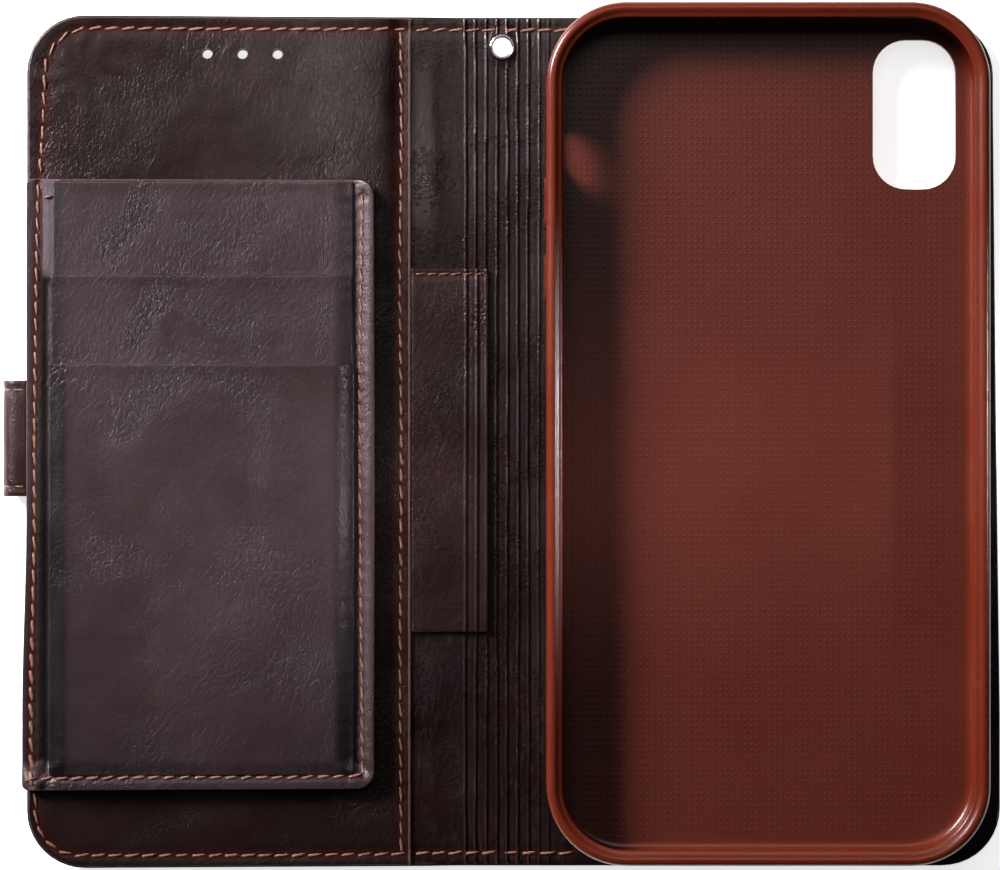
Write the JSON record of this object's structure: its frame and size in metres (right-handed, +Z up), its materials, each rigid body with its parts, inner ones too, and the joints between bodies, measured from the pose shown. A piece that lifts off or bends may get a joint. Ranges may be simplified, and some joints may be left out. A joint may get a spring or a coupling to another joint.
{
  "type": "phone wallet case",
  "caption": "Folding leather phone wallet case lying open: moulded phone shell on the back cover, ribbed spine, front cover with a card leaf and a magnetic closing strap.",
  "frame": {"origin": "on the table, under the middle of the open case's box", "axes": "+X towards the phone shell's outer side, +Y towards the phone's top, +Z up out of the table"},
  "size_m": [0.1804, 0.1556, 0.0137],
  "materials": {
    "outer_leather": "waxed pull-up leather, fine creases",
    "lining_leather": "waxed crinkled leather",
    "patch_leather": "waxed leather",
    "leaf_leather": "waxed crinkled leather with raw painted edges",
    "board": "grey-brown fibre board",
    "steel": "plated",
    "adhesive": "double-sided film",
    "shell_tpu": "glossy soft moulded shell",
    "eyelet_metal": "bright nickel",
    "thread": "twisted polyester thread"
  },
  "bodies": {
    "back": {"back_outer_leather": "outer_leather", "back_board": "board", "back_steel_keeper": "steel", "back_lining": "lining_leather", "shell_adhesive_sheet": "adhesive", "phone_shell": "shell_tpu"},
    "spine": {"spine_outer_leather": "outer_leather", "spine_reinforcement": "board", "spine_lining": "lining_leather", "spine_patch": "patch_leather", "eyelet_barrel": "eyelet_metal", "eyelet_washer": "eyelet_metal"},
    "front": {"front_outer_leather": "outer_leather", "front_board": "board", "spine_leather_wing": "lining_leather", "front_lining": "lining_leather", "spine_patch_wing": "patch_leather", "strap_anchor_tab": "lining_leather", "front_border_stitching": "thread", "hinge_seam_stitching": "thread", "leaf_sewn_margin": "leaf_leather", "leaf_margin_stitching": "thread", "patch_stitching": "thread"},
    "leaf": {"leaf_back_leather": "leaf_leather", "leaf_front_base": "leaf_leather", "card_pocket_rear": "leaf_leather", "card_pocket_middle": "leaf_leather", "card_pocket_front": "leaf_leather", "leaf_pocket_stitching": "thread"},
    "strap_bridge": {"strap_fold": "outer_leather"},
    "strap_side": {"strap_side_outer": "outer_leather", "strap_side_core": "board", "strap_side_inner": "lining_leather"},
    "strap_tip": {"strap_tip_outer": "outer_leather", "strap_tip_inner": "lining_leather", "strap_magnet": "steel"},
    "power_button": {"power_button_pad": "shell_tpu"},
    "volume_up_button": {"volume_up_pad": "shell_tpu"},
    "volume_down_button": {"volume_down_pad": "shell_tpu"}
  },
  "joints": [
    {"name": "back_fold", "type": "hinge", "parent": "back", "child": "spine", "pos_m": [0.0075, 0, 0.0027], "axis": [0, 1, 0], "range_deg": [-90, 90]},
    {"name": "front_fold", "type": "hinge", "parent": "spine", "child": "front", "pos_m": [-0.0077, 0, 0.0027], "axis": [0, 1, 0], "range_deg": [-87.6, 87.6]},
    {"name": "leaf_turn", "type": "hinge", "parent": "front", "child": "leaf", "pos_m": [-0.08246, 0, 0.00754], "axis": [0, 1, 0], "range_deg": [-165, 0]},
    {"name": "strap_root", "type": "hinge", "parent": "front", "child": "strap_bridge", "pos_m": [-0.0876, 0, 0.0042], "axis": [0, 1, 0], "range_deg": [0, 64.5], "deforming": ["strap_fold"]},
    {"name": "strap_swing", "type": "hinge", "parent": "strap_bridge", "child": "strap_side", "pos_m": [-0.0894, 0, 0.0008], "axis": [0, 1, 0], "range_deg": [0, 207.9], "deforming": ["strap_fold"]},
    {"name": "strap_tip_bend", "type": "hinge", "parent": "strap_side", "child": "strap_tip", "pos_m": [-0.0686, 0, 0.0008], "axis": [0, 1, 0], "range_deg": [0, 90]},
    {"name": "power_press", "type": "slide", "parent": "back", "child": "power_button", "axis": [-1, 0, 0], "range_m": [0, 0.0004], "stiffness_N_per_m": 2500},
    {"name": "volume_up_press", "type": "slide", "parent": "back", "child": "volume_up_button", "axis": [1, 0, 0], "range_m": [0, 0.0004], "stiffness_N_per_m": 2500},
    {"name": "volume_down_press", "type": "slide", "parent": "back", "child": "volume_down_button", "axis": [1, 0, 0], "range_m": [0, 0.0004], "stiffness_N_per_m": 2500}
  ],
  "couplings": [
    {"joint": "front_fold", "follows": "back_fold", "ratio": 0.97333},
    {"joint": "strap_swing", "follows": "strap_root", "ratio": 3.2232}
  ]
}
